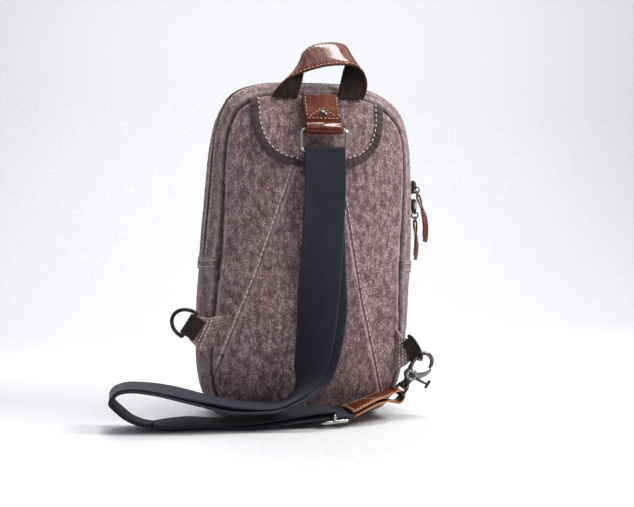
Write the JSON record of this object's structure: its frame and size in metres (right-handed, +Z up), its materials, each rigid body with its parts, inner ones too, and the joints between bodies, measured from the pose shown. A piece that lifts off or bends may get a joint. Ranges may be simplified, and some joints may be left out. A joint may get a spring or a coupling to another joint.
{
  "type": "sling bag",
  "caption": "Tall canvas one-shoulder sling bag with zips round its sides, leather carry handle, webbing strap and swivel hook to a corner D-ring.",
  "frame": {"origin": "middle of the base, on the surface the bag stands on, half-way through its depth", "axes": "+Z up, -Y out of the back panel on the strap's side, +X to the right when that panel is seen"},
  "size_m": [0.3054, 0.148, 0.3536],
  "materials": {
    "canvas": "washed matt canvas",
    "twill": "matt twill tape",
    "lining": "matt polyester",
    "foam": "foam sheet in a cloth sleeve",
    "board": "stiff board",
    "leather": "glossy waxed leather",
    "dark_leather": "dark leather underside",
    "webbing": "ribbed cotton webbing",
    "zip_tape": "woven zip tape",
    "gunmetal": "gunmetal plated, slightly worn",
    "nickel": "brushed nickel"
  },
  "bodies": {
    "bag": {"back_panel": "canvas", "front_panel": "canvas", "back_foam_pad": "foam", "back_lining": "lining", "gusset_back_strip": "canvas", "gusset_middle_strip": "canvas", "gusset_front_strip": "canvas", "lower_gusset": "canvas", "main_zip_back_tape": "zip_tape", "main_zip_front_tape": "zip_tape", "main_zip_teeth": "gunmetal", "front_zip_back_tape": "zip_tape", "front_zip_front_tape": "zip_tape", "front_zip_teeth": "gunmetal", "divider_panel": "lining", "slip_pocket": "lining", "base_board": "board", "back_yoke": "canvas", "yoke_binding": "twill", "ring_tab": "leather", "tab_rivet": "gunmetal", "strap_doubled_run": "webbing", "strap_lower_layer": "webbing", "end_tab": "leather", "swivel_eye": "gunmetal", "left_wing": "canvas", "left_ring_webbing": "webbing", "right_wing": "canvas", "right_ring_webbing": "webbing"},
    "handle": {"carry_handle": "leather", "handle_lining": "dark_leather"},
    "strap_ring": {"top_ring": "nickel", "strap_ring_loop": "webbing"},
    "left_ring": {"left_d_ring": "gunmetal"},
    "right_ring": {"right_d_ring": "gunmetal"},
    "snap_hook": {"hook_body": "gunmetal", "hook_pivot_rivet": "gunmetal"},
    "trigger": {"hook_lever": "nickel"},
    "strap_slider": {"triglide": "nickel", "strap_slider_tail": "webbing"},
    "upper_zip_slider": {"upper_slider": "gunmetal"},
    "upper_link": {"upper_pull_link": "nickel"},
    "upper_pull": {"upper_leather_pull": "leather"},
    "lower_zip_slider": {"lower_slider": "gunmetal"},
    "lower_link": {"lower_pull_link": "nickel"},
    "lower_pull": {"lower_leather_pull": "leather"},
    "front_zip_slider": {"front_slider": "gunmetal"},
    "front_link": {"front_pull_link": "nickel"},
    "front_pull": {"front_leather_pull": "leather"}
  },
  "joints": [
    {"name": "handle_lean", "type": "hinge", "parent": "bag", "child": "handle", "pos_m": [0.0085, -0.0452, 0.2992], "axis": [1, 0, 0], "range_deg": [-20, 25]},
    {"name": "strap_ring_swing", "type": "hinge", "parent": "bag", "child": "strap_ring", "pos_m": [0.0105, -0.0615, 0.267], "axis": [-1, 0, 0], "range_deg": [0, 60]},
    {"name": "left_ring_swing", "type": "hinge", "parent": "bag", "child": "left_ring", "pos_m": [-0.1105, -0.045, 0.0905], "axis": [-0.5408, 0, -0.8412], "range_deg": [-45, 45]},
    {"name": "right_ring_swing", "type": "hinge", "parent": "bag", "child": "right_ring", "pos_m": [0.101, -0.0445, 0.0648], "axis": [0.4068, 0, -0.9135], "range_deg": [-5, 5]},
    {"name": "hook_swivel", "type": "hinge", "parent": "bag", "child": "snap_hook", "pos_m": [0.087, -0.0495, 0.027], "axis": [0.6298, 0, 0.7768], "range_deg": [-7, 0]},
    {"name": "trigger_pivot", "type": "hinge", "parent": "snap_hook", "child": "trigger", "pos_m": [0.09591, -0.0495, 0.04037], "axis": [0, -1, 0], "range_deg": [0, 20], "stiffness_Nm_per_rad": 0.02, "springref_deg": -17.19},
    {"name": "strap_slider_slide", "type": "slide", "parent": "bag", "child": "strap_slider", "axis": [-0.9964, 0, -0.0849], "range_m": [0, 0.025]},
    {"name": "upper_zip_slide", "type": "slide", "parent": "bag", "child": "upper_zip_slider", "axis": [-0.035, 0, 0.9994], "range_m": [0, 0.034]},
    {"name": "lower_zip_slide", "type": "slide", "parent": "bag", "child": "lower_zip_slider", "axis": [0, 0, 1], "range_m": [-0.04, 0]},
    {"name": "front_zip_slide", "type": "slide", "parent": "bag", "child": "front_zip_slider", "axis": [0, 0, 1], "range_m": [-0.012, 0.055]},
    {"name": "upper_link_swing", "type": "hinge", "parent": "upper_zip_slider", "child": "upper_link", "pos_m": [0.10809, -0.022, 0.2214], "axis": [0, -1, 0], "range_deg": [0, 100]},
    {"name": "upper_pull_swing", "type": "hinge", "parent": "upper_link", "child": "upper_pull", "pos_m": [0.11124, -0.02448, 0.20956], "axis": [-0.0511, -0.9801, 0.192], "range_deg": [0, 60]},
    {"name": "lower_link_swing", "type": "hinge", "parent": "lower_zip_slider", "child": "lower_link", "pos_m": [0.10847, -0.022, 0.1971], "axis": [0, -1, 0], "range_deg": [0, 45]},
    {"name": "lower_pull_swing", "type": "hinge", "parent": "lower_link", "child": "lower_pull", "pos_m": [0.1097, -0.01989, 0.18484], "axis": [0.0169, -0.9856, -0.1683], "range_deg": [0, 60]},
    {"name": "front_link_swing", "type": "hinge", "parent": "front_zip_slider", "child": "front_link", "pos_m": [0.10846, 0.02, 0.1716], "axis": [0, -1, 0], "range_deg": [0, 100]},
    {"name": "front_pull_swing", "type": "hinge", "parent": "front_link", "child": "front_pull", "pos_m": [0.10908, 0.01925, 0.15914], "axis": [-0.003, -0.9982, 0.0599], "range_deg": [0, 60]}
  ]
}
